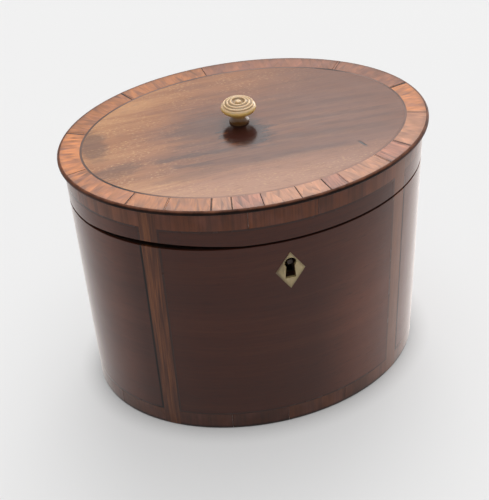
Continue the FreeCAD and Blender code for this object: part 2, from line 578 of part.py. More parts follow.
def link_plate():
    """Plate under the front of the lid with two eyed lugs; gives the tools that cut its bed."""
    half = "(Sizes.lug_offset + Sizes.link_end)"
    lug_y = (f"{LOCK_CAVITY} + Sizes.run_gap", f"{PLATE_FRONT} - Sizes.run_gap")
    eye_y = (f"{BOLT_Y[0]} - Sizes.run_gap", f"{BOLT_Y[1]} + Sizes.run_gap")
    plate = box("link_plate_plate", (f"-{half}", half), lug_y, (LID_LOW, f"{LID_LOW} + Sizes.link_plate"))
    lugs, eyes, screws = [], [], []
    for number, x in enumerate(LUGS, start=1):
        width = (f"{x} - Sizes.lug / 2", f"{x} + Sizes.lug / 2")
        lugs.append(box(f"link_lug_{number}", width, lug_y, (LUG_LOW, f"{LID_LOW} + Sizes.link_plate")))
        eyes.append(box(f"link_eye_{number}", width, eye_y, (EYE_LOW, EYE_TOP)))
        outward = "-" if x.startswith("-") else "+"
        screws.append(screw(f"link_screw_{number}", "up", "Sizes.link_screw",
                            f"({x} {outward} Sizes.link_end / 2)", LOCK_MIDDLE, LID_LOW))
    wholes = [whole for whole, _ in screws]
    keep(cut("link_plate_part", fuse("link_plate_blank", plate, *lugs), *eyes, *wholes), "link_plate")
    keep(group("link_screw_group", *[slotted for _, slotted in screws]), "link_plate_screws")
    return [plate] + wholes


# Veneers on the sides of the box and of the lid

def dress(prefix, band, frame, panel, upright, butts, cutters):
    """Crossbanding, stringing frames, panels and uprights between pairs of heights.

    cutters maps the name of a panel or upright, or "stringing", to the tools that cut it.
    """
    low, high = upright
    narrow, wide = [{corner: upright_slab(f"{prefix}_{kind}_{corner}", angle, width, low, high)
                     for corner, angle in CORNERS.items()}
                    for kind, width in (("narrow", "Sizes.upright"),
                                        ("wide", "Sizes.upright + 2 * Sizes.line"))]
    rings = {kind: ring(f"{prefix}_{kind}_ring", "0", "Sizes.veneer", *limits)
             for kind, limits in (("band", band), ("frame", frame), ("panel", panel),
                                  ("upright", upright))}
    joints = [upright_slab(f"{prefix}_butt_{number}", angle, "Sizes.butt_gap", *band)
              for number, angle in enumerate(butts, start=1)]

    def finish(obj, name):
        tools = cutters.get(name, [])
        return keep(cut(f"{prefix}_{name}_trimmed", obj, *tools) if tools else obj, f"{prefix}_{name}")

    band_name = "base_crossbanding" if prefix == "body" else "side_crossbanding"
    finish(cut(f"{prefix}_bands", rings["band"], *narrow.values(), *joints), band_name)
    panels = cut(f"{prefix}_panels", rings["panel"], *wide.values())
    frames = cut(f"{prefix}_frames", cut(f"{prefix}_open_frames", rings["frame"], *narrow.values()),
                 panels)
    finish(frames, "stringing")
    for side, (x, y) in SIDES.items():
        limits = box(f"{prefix}_{side}_limits", x, y, panel)
        finish(common(f"{prefix}_{side}_cut", panels, limits), f"{side}_panel")
    for corner, slab in narrow.items():
        finish(common(f"{prefix}_{corner}_cut", rings["upright"], slab), f"{corner}_upright")


# The box

hinge_screws = {"case": [], "lid": []}
keyhole = keyhole_tool()
diamond = diamond_tool()
lock_bed = lock(keyhole)
link_bed = link_plate()
case_beds, lid_beds, case_back_cuts, lid_back_cuts = [], [], [], []
for hinge_side, hinge_middle in (("left", "-Sizes.hinge_offset"), ("right", "Sizes.hinge_offset")):
    hinge_beds = hinge(hinge_side, hinge_middle)
    for beds, tools in zip((case_beds, lid_beds, case_back_cuts, lid_back_cuts), hinge_beds):
        beds += tools
keep(group("case_hinge_screw_group", *hinge_screws["case"]), "hinge_screws_case")
keep(group("lid_hinge_screw_group", *hinge_screws["lid"]), "hinge_screws_lid")

wall = ring("wall", "Sizes.veneer", CORE_IN, "0", RIM)
keep(cut("wall_part", wall, *lock_bed, *case_beds), "carcase_wall")
keep(oval("bottom", CORE_IN, "0", "Sizes.base_board"), "base_board")
keep(ring("liner", CORE_IN, LINER_IN, "Sizes.base_board", LEDGE), "ledge_liner")
foil = cut("foil", oval("foil_outside", LINER_IN, "Sizes.base_board", LEDGE),
           oval("foil_inside", f"{LINER_IN} + Sizes.foil", "Sizes.base_board + Sizes.foil", LEDGE))
keep(foil, "foil_lining")
dress("body", (BAND_LOW, FRAME_LOW), (FRAME_LOW, RIM), (PANEL_LOW, RIM), (BAND_LOW, RIM), BASE_BUTTS,
      {"front_panel": [diamond], "back_panel": case_back_cuts})
shield = common("shield", ring("shield_ring", "-Sizes.diamond_proud", "Sizes.veneer", PANEL_LOW, RIM),
                diamond)
keep(cut("shield_part", shield, keyhole), "escutcheon")

# The inner lid, which rests on the top edge of the liner

inner_top = f"{LEDGE} + Sizes.inner_lid"
small_peg = "Sizes.inner_lid - Sizes.veneer"
small_hole = rod("small_hole", "Sizes.small_peg", "z", "0", "0", (f"{inner_top} - ({small_peg})", inner_top))
inner_gap = f"{CORE_IN} + Sizes.inner_lid_gap"
keep(cut("inner_board", oval("inner_blank", inner_gap, LEDGE, inner_top), small_hole), "inner_lid")
keep(bind(knob("small_knob", "small", small_peg), z=inner_top), "inner_lid_knob")

# The lid

bow = bow_wedge()
rim = ring("rim", "Sizes.veneer", CORE_IN, LID_LOW, BOARD_LOW)
keep(cut("rim_part", rim, *link_bed, *lid_beds, bow), "lid_rim")
knob_place = {"x": "Sizes.knob_shift_x", "y": "Sizes.knob_shift_y"}
knob_hole = rod("knob_hole", "Sizes.knob_peg", "z", knob_place["x"], knob_place["y"],
                (f"{LID_TOP} - Sizes.lid_board", LID_TOP))
keep(cut("board", oval("board_blank", "Sizes.veneer", BOARD_LOW, BOARD_TOP), knob_hole), "lid_board")
band_in = "Sizes.edge_lip + Sizes.top_band"
top_line_in = f"{band_in} + Sizes.line"
top_joints = [upright_slab(f"top_butt_{number}", angle, "Sizes.butt_gap", BOARD_TOP, LID_TOP)
              for number, angle in enumerate(TOP_BUTTS, start=1)]
top_band_ring = ring("top_band_ring", "Sizes.edge_lip", band_in, BOARD_TOP, LID_TOP, LID_PLAN)
keep(cut("top_bands", top_band_ring, *top_joints), "lid_top_crossbanding")
keep(ring("top_line", band_in, top_line_in, BOARD_TOP, LID_TOP, LID_PLAN), "lid_top_stringing")
keep(cut("top", oval("top_blank", top_line_in, BOARD_TOP, LID_TOP, LID_PLAN), knob_hole), "lid_top_panel")
dress("lid", (LID_FRAME_TOP, EDGE_LOW), (LID_LOW, LID_FRAME_TOP), (LID_LOW, LID_PANEL_TOP),
      (LID_LOW, EDGE_LOW), LID_SIDE_BUTTS,
      {"front_panel": [bow], "left_panel": [bow], "stringing": [bow], "front_left_upright": [bow],
       "back_panel": lid_back_cuts})
keep(bind(knob("top_knob", "knob", "Sizes.lid_board"), **knob_place, z=LID_TOP), "lid_knob")

# The moulding round the lid top, rebated for the crossbanding that lies on it

moulding = doc.addObject("PartDesign::Body", "moulding")
moulding_sketch = new_sketch(moulding, "XY_Plane", "moulding_outline", EDGE_LOW)
oval_outline(moulding_sketch, "0", LID_PLAN)
oval_outline(moulding_sketch, "Sizes.veneer", BOX_PLAN)
pad(moulding, moulding_sketch, "Sizes.edge_height")
for rounding_name, rounding_z, rounding_radius in (("crown", LID_TOP, "Sizes.edge_round"),
                                                   ("foot", EDGE_LOW, "Sizes.edge_foot_round")):
    doc.recompute()
    unrounded = moulding.Tip
    outer_edges = [f"Edge{number}" for number, edge in enumerate(unrounded.Shape.Edges, start=1)
                   if edge.BoundBox.XMax > value(f"{LID_PLAN[0]} - Sizes.edge_lip / 2")
                   and abs(edge.BoundBox.ZMin - value(rounding_z)) < value("Sizes.edge_height / 4")
                   and edge.BoundBox.ZLength < value("Sizes.edge_height / 4")]
    rounding = moulding.newObject("PartDesign::Fillet", f"moulding_{rounding_name}_rounding")
    rounding.Base = (unrounded, outer_edges)
    bind(rounding, Radius=rounding_radius)
rebate = oval("moulding_rebate", "Sizes.edge_lip", BOARD_TOP, LID_TOP, LID_PLAN)
keep(cut("moulding_part", moulding, rebate), "lid_edge_moulding")

# Check every object, then write each sub-part
doc.recompute()
for item in doc.Objects:
    if "Invalid" in item.State or "Error" in item.State:
        raise RuntimeError(f"{item.Name} failed: {item.State}")
for item in kept:
    if item.Shape.isNull() or not item.Shape.isValid() or not item.Shape.Solids:
        raise RuntimeError(f"{item.Label} has no valid solid")
os.makedirs("parts", exist_ok=True)
for item in kept:
    item.Shape.exportStep(f"parts/{item.Label}.step")
    print(f"{item.Label}: {len(item.Shape.Solids)} solid(s), {item.Shape.Volume:.1f} mm3")
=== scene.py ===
"""Finish of the oval tea caddy: polished veneers, bone, brass, and a pale studio round it.

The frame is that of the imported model: the long axis of the oval lies along X, the front with the
keyhole faces -Y, and +Z is up. Objects are in metres; the materials measure in millimetres.
"""
import json
import math

import bpy
from mathutils import Matrix, Vector


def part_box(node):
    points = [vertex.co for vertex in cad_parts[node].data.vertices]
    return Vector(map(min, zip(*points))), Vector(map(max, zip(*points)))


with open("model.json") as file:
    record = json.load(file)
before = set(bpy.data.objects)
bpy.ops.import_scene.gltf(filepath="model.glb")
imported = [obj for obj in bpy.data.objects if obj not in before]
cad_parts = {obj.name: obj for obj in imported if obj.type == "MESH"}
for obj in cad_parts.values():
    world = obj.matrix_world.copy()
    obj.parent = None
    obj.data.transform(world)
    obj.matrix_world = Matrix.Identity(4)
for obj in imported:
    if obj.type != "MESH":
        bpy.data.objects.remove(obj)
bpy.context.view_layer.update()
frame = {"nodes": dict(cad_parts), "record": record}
nodes = frame["nodes"]

MM = 0.001


def span(node):
    """Lowest and highest corner of a node at rest, in millimetres."""
    return [Vector(corner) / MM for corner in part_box(node)]


# Heights that the finish follows, read from the model
RIM = span("carcase_wall")[1].z
LID_LOW = span("lid_rim")[0].z
LID_TOP = span("lid_top_panel")[1].z


# Materials written as expressions

# Places of the colour sockets on a Mix node
MIX_FIRST, MIX_SECOND, MIX_RESULT = 6, 7, 2


def rgba(colour):
    return (*colour, 1.0)


def grey(level):
    return (level, level, level)


class Term:
    """A value that varies over a surface: arithmetic on it adds nodes to its tree."""

    def __init__(self, graph, socket):
        self.graph = graph
        self.socket = socket

    def __add__(self, other):
        return self.graph.math("ADD", self, other)

    def __sub__(self, other):
        return self.graph.math("SUBTRACT", self, other)

    def __rsub__(self, other):
        return self.graph.math("SUBTRACT", other, self)

    def __mul__(self, other):
        return self.graph.math("MULTIPLY", self, other)

    def __truediv__(self, other):
        return self.graph.math("DIVIDE", self, other)


class Graph:
    """A node tree that is written as expressions."""

    def __init__(self, tree):
        self.tree = tree

    def feed(self, socket, value):
        if isinstance(value, Term):
            self.tree.links.new(value.socket, socket)
        else:
            socket.default_value = value

    def add(self, kind, inputs=None, **properties):
        node = self.tree.nodes.new(kind)
        for name, value in properties.items():
            setattr(node, name, value)
        for socket, value in (inputs or {}).items():
            self.feed(node.inputs[socket], value)
        return node

    def math(self, operation, *terms):
        node = self.add("ShaderNodeMath", dict(enumerate(terms)), operation=operation)
        return Term(self, node.outputs[0])

    def vector(self, operation, *terms):
        node = self.add("ShaderNodeVectorMath", dict(enumerate(terms)), operation=operation)
        return Term(self, node.outputs["Value" if operation == "DOT_PRODUCT" else "Vector"])

    def split(self, vector):
        node = self.add("ShaderNodeSeparateXYZ", {0: vector})
        return [Term(self, socket) for socket in node.outputs]

    def join(self, x, y, z):
        return Term(self, self.add("ShaderNodeCombineXYZ", {0: x, 1: y, 2: z}).outputs[0])

    def noise(self, place, size, detail, roughness=0.5, distortion=0.0):
        """Noise from 0 to 1; size gives the length of its features along each axis of place."""
        node = self.add("ShaderNodeTexNoise", {
            "Vector": self.vector("DIVIDE", place, size), "Scale": 1.0, "Detail": detail,
            "Roughness": roughness, "Distortion": distortion})
        return Term(self, node.outputs[0])

    def smooth(self, value, low, high):
        """0 below low, 1 above high, smooth between; low may be the larger."""
        node = self.add("ShaderNodeMapRange", {0: value, 1: low, 2: high},
                        interpolation_type="SMOOTHSTEP")
        return Term(self, node.outputs[0])

    def near(self, value, centre, half, soft):
        """1 within half of centre, fading to 0 over soft."""
        return self.smooth(self.math("ABSOLUTE", value - centre), half + soft, half)

    def length(self, *parts):
        """Length of a vector with these parts."""
        total = parts[0] * parts[0]
        for part in parts[1:]:
            total = total + part * part
        return self.math("SQRT", total)

    def largest(self, terms):
        most = terms[0]
        for term in terms[1:]:
            most = self.math("MAXIMUM", most, term)
        return most

    def ramp(self, factor, *stops, steps=False):
        """Colour along factor; stops are (place, colour) in rising order, and may be steps."""
        node = self.add("ShaderNodeValToRGB", {0: factor})
        node.color_ramp.interpolation = "CONSTANT" if steps else "LINEAR"
        elements = node.color_ramp.elements
        elements[0].position, elements[1].position = stops[0][0], stops[-1][0]
        for place, _ in stops[1:-1]:
            elements.new(place)
        for element, (_, colour) in zip(elements, stops):
            element.color = rgba(colour)
        return Term(self, node.outputs[0])

    def mix(self, factor, first, second):
        """Colours mixed by factor."""
        full = [colour if isinstance(colour, Term) else rgba(colour) for colour in (first, second)]
        node = self.add("ShaderNodeMix", {0: factor, MIX_FIRST: full[0], MIX_SECOND: full[1]},
                        data_type="RGBA")
        return Term(self, node.outputs[MIX_RESULT])

    def tint(self, colour, brightness):
        """Colour with its brightness scaled by a term."""
        node = self.add("ShaderNodeHueSaturation", {"Color": colour, "Value": brightness})
        return Term(self, node.outputs[0])

    def bump(self, height, distance, under=None):
        """Normal for a height from 0 to 1 that stands for distance."""
        inputs = {"Height": height, "Distance": distance * MM}
        if under is not None:
            inputs["Normal"] = under
        return Term(self, self.add("ShaderNodeBump", inputs).outputs[0])

    def island(self):
        """A random value from 0 to 1 for each loose piece of the mesh."""
        return Term(self, self.add("ShaderNodeNewGeometry").outputs["Random Per Island"])


class Shader(Graph):
    """One material on a Principled surface, with the place on the object as x, y and z."""

    def __init__(self, name, **constants):
        self.material = bpy.data.materials.new(name)
        self.material.use_nodes = True
        super().__init__(self.material.node_tree)
        self.surface = self.tree.nodes["Principled BSDF"]
        self.finish(**constants)
        metres = Term(self, self.add("ShaderNodeTexCoord").outputs["Object"])
        self.place = self.vector("DIVIDE", metres, (MM, MM, MM))
        self.x, self.y, self.z = self.split(self.place)

    def finish(self, **sockets):
        for name, value in sockets.items():
            self.feed(self.surface.inputs[name.replace("_", " ")], value)
        return self.material


class Oval:
    """Place round an oval on a material: length round it, distance in from it, from a hidden seam."""

    def __init__(self, shader, outline, seam):
        low, high = outline
        long, short = (high.x - low.x) / 2, (high.y - low.y) / 2
        self.shader, self.start = shader, math.radians(seam)
        self.mean, self.flatness = (long + short) / 2, (long - short) / (long + short)
        x, y = shader.x, shader.y - (high.y + low.y) / 2
        flat_x, flat_y = x / long, y / short
        spread = shader.length(flat_x, flat_y)
        self.inset = (1.0 - spread) * spread / shader.length(flat_x / long, flat_y / short)
        width = shader.length(flat_x * short / spread, flat_y * long / spread)
        unit_x = x / (long - self.inset * short / width)
        unit_y = y / (short - self.inset * long / width)
        ahead = unit_x * -math.cos(self.start) - unit_y * math.sin(self.start)
        aside = unit_x * math.sin(self.start) - unit_y * math.cos(self.start)
        turn = shader.math("ARCTAN2", aside, ahead)
        sway = shader.math("SINE", turn * 2.0 + 2 * self.start)
        self.around = (turn - sway * (self.flatness / 2)) * self.mean
        self.share = self.around / (math.tau * self.mean) + 0.5

    def around_at(self, angle):
        """Length round the oval at a plan angle in degrees."""
        turn = math.remainder(math.radians(angle) - self.start - math.pi, math.tau)
        return (turn - math.sin(2 * turn + 2 * self.start) * self.flatness / 2) * self.mean

    def share_at(self, angle):
        """Share of the way round the oval at a plan angle."""
        return self.around_at(angle) / (math.tau * self.mean) + 0.5

    def stretch(self, angle, half, soft):
        """1 on a stretch of the oval: plan angle of its middle, half its length, length of its fade."""
        return self.shader.near(self.around, self.around_at(angle), half, soft)

    def ramp(self, stops, steps=False):
        """Colours round the oval, from (plan angle, colour) pairs; the seam takes the nearest."""
        placed = sorted((self.share_at(angle), colour) for angle, colour in stops)
        return self.shader.ramp(self.share, *placed, steps=steps)


BODY_OUTLINE = [Vector((sign * span("body_stringing")[1].x, sign * -span("body_front_panel")[0].y, 0.0))
                for sign in (-1, 1)]
LID_OUTLINE = span("lid_edge_moulding")
# Plan angles, in degrees, of the joints that hide the two ends of the grain
SIDE_SEAM, TOP_SEAM = 136.2, 156.9
# The height below the rim where a finish starts to turn into that of the lid
LID_FADE = 1.0


def side_oval(shader):
    return Oval(shader, BODY_OUTLINE, SIDE_SEAM)


def top_oval(shader):
    return Oval(shader, LID_OUTLINE, TOP_SEAM)


def on_lid(shader):
    """1 on the lid and 0 on the box."""
    return shader.smooth(shader.z, RIM - LID_FADE, LID_LOW)


# Veneers

POLISHED = {"Roughness": 0.17, "IOR": 1.47}
# The sides have a thinner polish, hazy with old wax
WAXED = {"Roughness": 0.15, "IOR": 1.32, "Sheen_Weight": 1.0, "Sheen_Roughness": 0.335,
         "Sheen_Tint": (1.0, 0.91, 0.87, 1.0)}
# How far the grain wanders from side to side
GRAIN_SWAY = 5.0
# Height of the relief in each finish
FILM_RELIEF, GRAIN_RELIEF, LINE_RELIEF, EDGE_RELIEF = 0.10, 0.012, 0.05, 0.06
BONE_RELIEF, METAL_RELIEF, FOIL_RELIEF = 0.03, 0.02, 1.0


def fibres(shader, along, across, seed):
    """Wood seen along its grain: broad streaks, fine fibres and pores, each from 0 to 1."""
    sway = shader.noise(shader.join(along, across, seed), (90.0, 33.0, 1.0), detail=1.0) - 0.5
    place = shader.join(along, across + sway * GRAIN_SWAY, seed)
    streaks = shader.noise(place, (200.0, 9.0, 1.0), detail=4.0, roughness=0.55)
    fine = shader.noise(place, (25.0, 0.67, 1.0), detail=3.0, roughness=0.6)
    pores = shader.smooth(shader.noise(place, (5.9, 0.28, 1.0), detail=1.0), 0.60, 0.72)
    return streaks, fine, pores


def polish(shader, fine, pores):
    """Normal of a hand-polished veneer: open pores and fibres under a slightly uneven film."""
    film = shader.noise(shader.place, (14.0, 14.0, 14.0), detail=1.0)
    uneven = shader.bump(film, FILM_RELIEF)
    return shader.bump(fine * 0.4 - pores * 0.6, GRAIN_RELIEF, under=uneven)


# Painted shade inside the keyhole
KEYHOLE_SHADE = (0.022, 0.006, 0.004)
KEYHOLE_MIDDLE = (span("lock_key_pin")[0] + span("lock_key_pin")[1]) / 2
KEYHOLE_RADIUS, KEYHOLE_DROP, KEYHOLE_SOFT = 2.5, 5.6, 0.25


def keyhole(shader):
    """1 in and round the keyhole, where shade is painted; the escutcheon covers it from the front."""
    aside = shader.x - KEYHOLE_MIDDLE.x
    above = shader.math("MAXIMUM", shader.z - KEYHOLE_MIDDLE.z, 0.0)
    below = shader.math("MAXIMUM", (KEYHOLE_MIDDLE.z - KEYHOLE_DROP) - shader.z, 0.0)
    reach = shader.length(aside, above, below)
    inside = shader.smooth(reach, KEYHOLE_RADIUS + KEYHOLE_SOFT, KEYHOLE_RADIUS)
    at_front = shader.smooth(shader.y, 0.0, -1.0)
    return inside * at_front


# Tones of the lid panel, from its dark streaks to its faded wood
TOP_TONES = (
    (0.05, (0.048, 0.015, 0.009)), (0.35, (0.125, 0.038, 0.014)), (0.55, (0.20, 0.066, 0.021)),
    (0.75, (0.295, 0.108, 0.033)), (1.0, (0.43, 0.195, 0.070)),
)
FADED_BUFF, DULL_BROWN, PALE_FLECK = (0.37, 0.182, 0.110), (0.175, 0.070, 0.042), (0.56, 0.30, 0.12)
SMOKE_AND_SHADOW_BROWN, DENT_DARK, TOP_PORES = (0.036, 0.011, 0.009), (0.012, 0.005, 0.004), (0.03, 0.011, 0.007)
# Where the tone of the panel changes, along x or y: where the change starts and where it is full
LEFT_FADE, RIGHT_DULL, FRONT_FADE, BACK_FADE = (-6.0, -58.0), (0.0, 45.0), (-22.0, -42.0), (8.0, 38.0)
# Width of a ripple in the figure at the right, and how raggedly the tones meet
RIPPLE_PITCH, RAGGED_EDGE = 5.5, 8.0
# Smoky streaks in the lid panel: from x, y to x, y, half width, strength
SMOKE = (
    (-45, -13.5, -4, -14.5, 2.0, 0.65), (-37, -19, -17, -22, 1.4, 0.5), (-33, -6, -10, -7, 1.5, 0.35),
    (10, -2, 66, -6.5, 2.2, 0.30), (6, -14, 62, -20, 2.2, 0.34), (-14, -25.5, 42, -27, 1.8, 0.35),
    (18, 9, 64, 5, 2.0, 0.25), (22, -9, 64, -13, 1.5, 0.25), (-30, 16, 40, 14, 1.8, 0.25),
    (-20, 30, 50, 27, 1.5, 0.2),
)
# Worn and stained patches in the lid panel, the fourth being the painted shadow and reflection of the
# knob in front of it: x, y, radius along, radius across, strength
STAINS_AND_KNOB_SHADOW = (
    (-61.5, 8, 6, 12, 0.5), (-56, -15, 10, 5, 0.4), (-14, 4, 18, 10, 0.35), (-1, -6, 11, 10, 1.0),
    (-30, -28, 14, 3, 0.25),
)
# A dent at the front right of the lid panel: x, y, width, length, slant
DENT = (39.4, -29.4, 0.75, 2.2, -0.35)


def top_panel_wood():
    """Figured veneer of the lid, faded to gold at the left, with smoky streaks, pale flecks, and a
    painted shadow and reflection of the knob in front of it.
    """
    shader = Shader("top_panel_wood", **POLISHED)
    x, y = shader.x, shader.y
    streaks, fine, pores = fibres(shader, x, y, seed=0.0)
    ragged = shader.noise(shader.place, (22.0, 3.0, 1.0), detail=3.0, roughness=0.6) - 0.5
    ragged_y = y + ragged * RAGGED_EDGE
    left, front = shader.smooth(x, *LEFT_FADE), shader.smooth(ragged_y, *FRONT_FADE)
    back = shader.smooth(ragged_y, *BACK_FADE) * shader.smooth(x, 60.0, 5.0)
    ripple = shader.math("SINE", (y + x * 0.09 + ragged * 7.0) * (math.tau / RIPPLE_PITCH))
    ripple = ripple * shader.smooth(x, -10.0, 25.0) * shader.smooth(y, 24.0, 8.0)
    tone = left * 0.44 + front * 0.30 + back * 0.30 + ripple * 0.05 + 0.39
    figure = shader.smooth(x, 30.0, -30.0) * 0.5 + 0.4
    tone = tone + (streaks - 0.5) * figure + (fine - 0.5) * 0.35 + ragged * figure * 0.35
    colour = shader.ramp(tone, *TOP_TONES)
    colour = shader.mix(front * 0.65, colour, FADED_BUFF)
    colour = shader.mix(shader.smooth(x, *RIGHT_DULL) * 0.5, colour, DULL_BROWN)
    cluster = shader.smooth(shader.noise(shader.place, (13.0, 6.0, 1.0), detail=3.0), 0.38, 0.58)
    fleck = shader.smooth(shader.noise(shader.place, (1.4, 0.65, 1.0), detail=3.0), 0.53, 0.66) * cluster
    golden = shader.largest([left, back * 0.8, front * 0.6])
    colour = shader.mix(fleck * golden * 0.65, colour, PALE_FLECK)
    speckle = shader.noise(shader.place, (5.0, 1.2, 1.0), detail=3.0, roughness=0.65) - 0.5
    smoke_and_shadow = []
    for first_x, first_y, last_x, last_y, half, strength in SMOKE:
        run = (x - first_x) / (last_x - first_x)
        off = y - first_y - run * (last_y - first_y) + (ragged * 2.4 + speckle * 1.6) * half
        streak = shader.near(off, 0.0, half * 0.2, half) * shader.near(run, 0.5, 0.28, 0.22)
        smoke_and_shadow.append(streak * strength)
    for at_x, at_y, along, across, strength in STAINS_AND_KNOB_SHADOW:
        reach = shader.length((x - at_x) / along, (y - at_y) / across) + ragged * 1.6 + speckle
        smoke_and_shadow.append(shader.smooth(reach, 1.25, 0.65) * strength)
    # Smoky streaks and stains, and the painted shadow and reflection of the knob, darken the wood
    colour = shader.mix(shader.largest(smoke_and_shadow), colour, SMOKE_AND_SHADOW_BROWN)
    dent_x, dent_y, wide, tall, slant = DENT
    dent = shader.near(x - (y - dent_y) * slant, dent_x, wide * 0.3, wide)
    dent = dent * shader.near(y, dent_y, tall * 0.5, tall)
    colour = shader.mix(dent * 0.95, colour, DENT_DARK)
    colour = shader.mix(pores * 0.4, colour, TOP_PORES)
    return shader.finish(Base_Color=colour, Normal=polish(shader, fine, pores - dent * 3.0))


SIDE_TONES = (
    (0.25, (0.026, 0.0046, 0.0016)), (0.52, (0.056, 0.0102, 0.0030)), (0.85, (0.105, 0.025, 0.0075)),
)
RED_BROWN, END_BROWN, SIDE_PORES = (0.17, 0.045, 0.020), (0.15, 0.041, 0.018), (0.012, 0.004, 0.002)
# Redder stretches of the side veneers: plan angle, half the length, length of the fade
RED_FRONT, RED_LEFT, RED_END = (306, 8.0, 30.0), (197, 12.0, 14.0), (342, 24.0, 14.0)


def side_panel_wood():
    """Dark red-brown veneer of the sides, grain running round the oval, redder at the right."""
    shader = Shader("side_panel_wood", **WAXED)
    oval = side_oval(shader)
    streaks, fine, pores = fibres(shader, oval.around, shader.z, seed=0.31)
    tone = streaks * 0.36 + fine * 0.26 + 0.21
    colour = shader.ramp(tone, *SIDE_TONES)
    front = oval.stretch(*RED_FRONT) * shader.near(shader.z, 30.0, 20.0, 64.0)
    left = oval.stretch(*RED_LEFT) * 0.55
    colour = shader.mix(shader.largest([front, left]) * (streaks * 0.6 + 0.4), colour, RED_BROWN)
    colour = shader.mix(oval.stretch(*RED_END) * (streaks * 0.6 + 0.5), colour, END_BROWN)
    colour = shader.mix(pores * 0.4, colour, SIDE_PORES)
    # Painted shade inside the keyhole
    colour = shader.mix(keyhole(shader), colour, KEYHOLE_SHADE)
    return shader.finish(Base_Color=colour, Normal=polish(shader, fine, pores))


AMBER, GOLD, BUFF = (0.50, 0.170, 0.046), (0.38, 0.130, 0.036), (0.43, 0.180, 0.085)
ROSE, RUSSET, HONEY = (0.37, 0.135, 0.072), (0.27, 0.095, 0.042), (0.43, 0.147, 0.043)
# Lengths of crossbanding round the lid top: plan angle of the first joint, tone, stripes, half width of
# that joint
TOP_LENGTHS = (
    (157, AMBER, 0.05, 0.36), (190, HONEY, 0.05, 0.10), (221, GOLD, 0.5, 0.18), (234, GOLD, 0.7, 0.06),
    (248, BUFF, 0.7, 0.16), (254, ROSE, 0.9, 0.10), (263, BUFF, 0.8, 0.08), (274, BUFF, 0.5, 0.14),
    (283, ROSE, 0.7, 0.14), (289, BUFF, 0.6, 0.02), (306, ROSE, 0.9, 0.12), (318, BUFF, 0.1, 0.20),
    (343, AMBER, 0.1, 0.18), (10, RUSSET, 0.25, 0.45), (43, RUSSET, 0.4, 0.10), (93, GOLD, 0.6, 0.08),
    (124, GOLD, 0.6, 0.32),
)
JOINT_SOFT = 0.12
DARK_STRIPE, PURPLE, OPEN_DARK = (0.055, 0.018, 0.010), (0.16, 0.062, 0.050), (0.010, 0.005, 0.004)
# How much the pattern of one length differs from the next: shift of the fibres and of the stripes
FIBRE_SHIFT, STRIPE_SHIFT = 7.0, 9.0


def striped(shader, tone, strength, along, around, seed):
    """Cross-grained stripes over a tone; where they are weak, the wood is clouded instead."""
    place = shader.join(along, around, seed)
    stripes = shader.noise(place, (60.0, 1.5, 1.0), detail=3.0, roughness=0.7)
    deep = shader.smooth(shader.noise(place, (40.0, 2.6, 1.0), detail=2.0), 0.44, 0.33)
    mottle = shader.noise(place, (9.0, 7.0, 1.0), detail=1.0)
    bloom = shader.smooth(shader.noise(place, (13.0, 9.0, 1.0), detail=3.0), 0.40, 0.70)
    colour = shader.mix(bloom * (0.85 - strength * 0.45), tone, shader.mix(0.6, tone, PURPLE))
    marbled = (mottle - 0.5) * (1.8 - strength * 1.0)
    colour = shader.tint(colour, (stripes - 0.5) * (strength * 1.5 + 0.12) + marbled + 1.0)
    return shader.mix(deep * strength * 0.55, colour, DARK_STRIPE)


def top_crossband_wood():
    """Striped cross-grained banding of the lid top; every length of it has its own tone."""
    shader = Shader("crossband_wood_top", **POLISHED)
    oval = top_oval(shader)
    piece = shader.island()
    _, fine, pores = fibres(shader, oval.inset, oval.around, piece * FIBRE_SHIFT)
    tone = oval.ramp([(angle, colour) for angle, colour, *_ in TOP_LENGTHS], steps=True)
    strength = oval.ramp([(angle, grey(level)) for angle, _, level, _ in TOP_LENGTHS], steps=True)
    lean = (piece - 0.5) * (1.0 - strength) * 2.4
    colour = striped(shader, tone, strength, oval.inset, oval.around + oval.inset * lean,
                     piece * STRIPE_SHIFT)
    # Painted shade: the banding darkens towards its outer edge
    colour = shader.tint(colour, shader.smooth(oval.inset, 0.6, 3.4) * 0.25 + 0.75)
    joints = shader.largest([oval.stretch(angle, half, JOINT_SOFT) for angle, _, _, half in TOP_LENGTHS])
    colour = shader.mix(joints * 0.96, colour, OPEN_DARK)
    return shader.finish(Base_Color=colour, Roughness=joints * 0.6 + POLISHED["Roughness"],
                         Normal=polish(shader, fine, pores))


# Tones of the side banding: darkest and palest length, on the lid, at the ends, and the painted shade
# along the foot
DEEP_BAND, PALE_BAND, LID_BAND = (0.058, 0.014, 0.0045), (0.110, 0.029, 0.008), (0.125, 0.032, 0.009)
END_BAND, FOOT_SHADE = (0.22, 0.074, 0.032), (0.010, 0.004, 0.003)
# Paler stretches of the side banding: plan angle, half the length, length of the fade
PALE_END, PALE_LEFT = (340, 30.0, 24.0), (190, 24.0, 18.0)
# Heights where the painted shade along the foot ends and is full
FOOT_SHADE_ENDS, FOOT_SHADE_FULL = 2.2, 0.6


